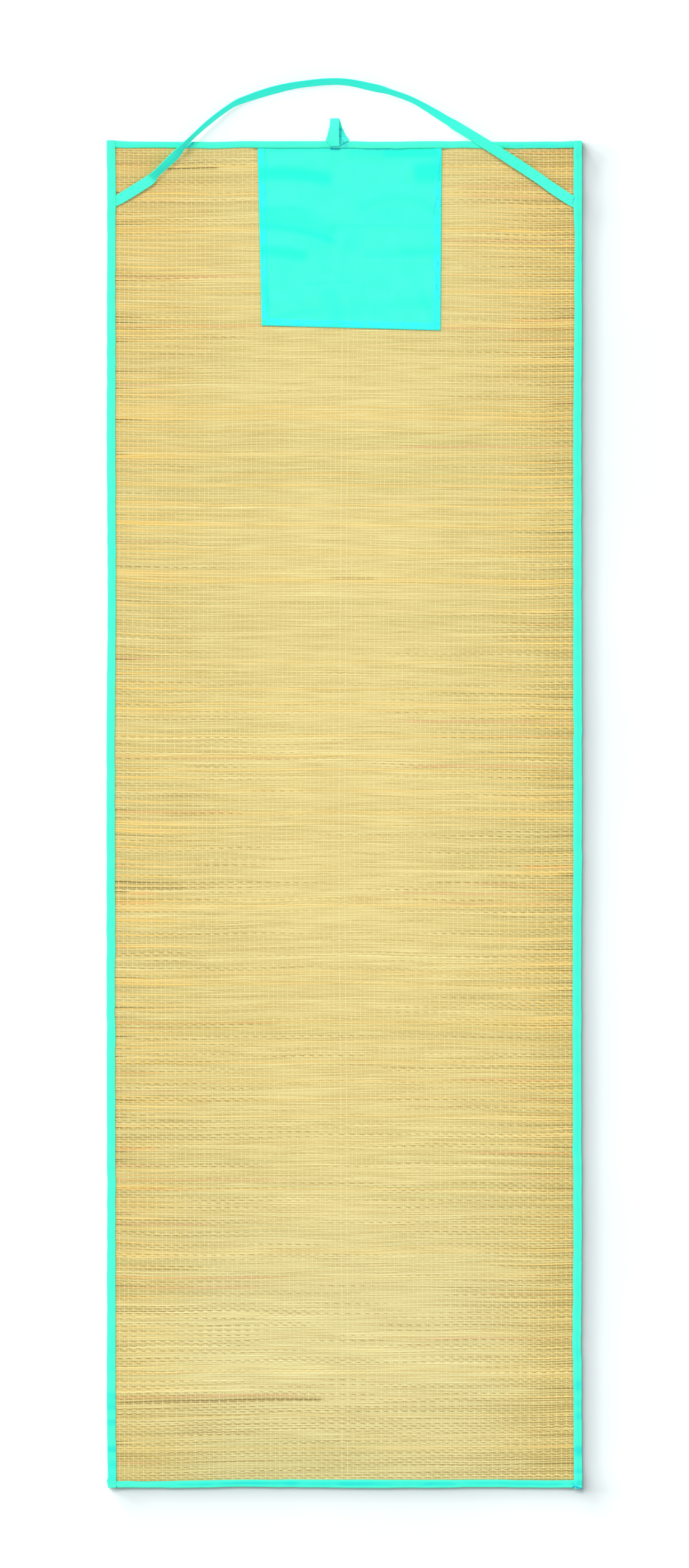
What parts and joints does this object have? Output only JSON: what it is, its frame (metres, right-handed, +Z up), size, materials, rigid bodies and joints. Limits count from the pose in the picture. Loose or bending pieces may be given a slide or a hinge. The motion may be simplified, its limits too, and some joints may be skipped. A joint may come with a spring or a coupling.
{
  "type": "straw beach mat",
  "caption": "flat beach mat of woven rush with cloth tape folded round its edges, a square cloth patch at the head end, a carrying strap and a small hanging loop",
  "frame": {"origin": "on the flat underside of the rush panel, at the middle of the bound rectangle, at floor level", "axes": "+X across the mat, +Y along it towards the head end with the patch, the strap and the loop, +Z up out of the mat's face"},
  "size_m": [0.6011, 1.7821, 0.0197],
  "materials": {
    "rush": "dry rush, plain woven on thin cotton strings, pale in the middle and browner towards the side edges",
    "binding_cloth": "matt turquoise cloth tape with a fine twill",
    "patch_cloth": "matt turquoise plain-woven cloth, softly creased"
  },
  "bodies": {
    "root": {"straw_panel": "rush", "binding_top": "binding_cloth", "binding_bottom": "binding_cloth", "binding_left": "binding_cloth", "binding_right": "binding_cloth", "patch": "patch_cloth", "carry_strap": "binding_cloth", "hang_loop": "binding_cloth"}
  },
  "joints": []
}
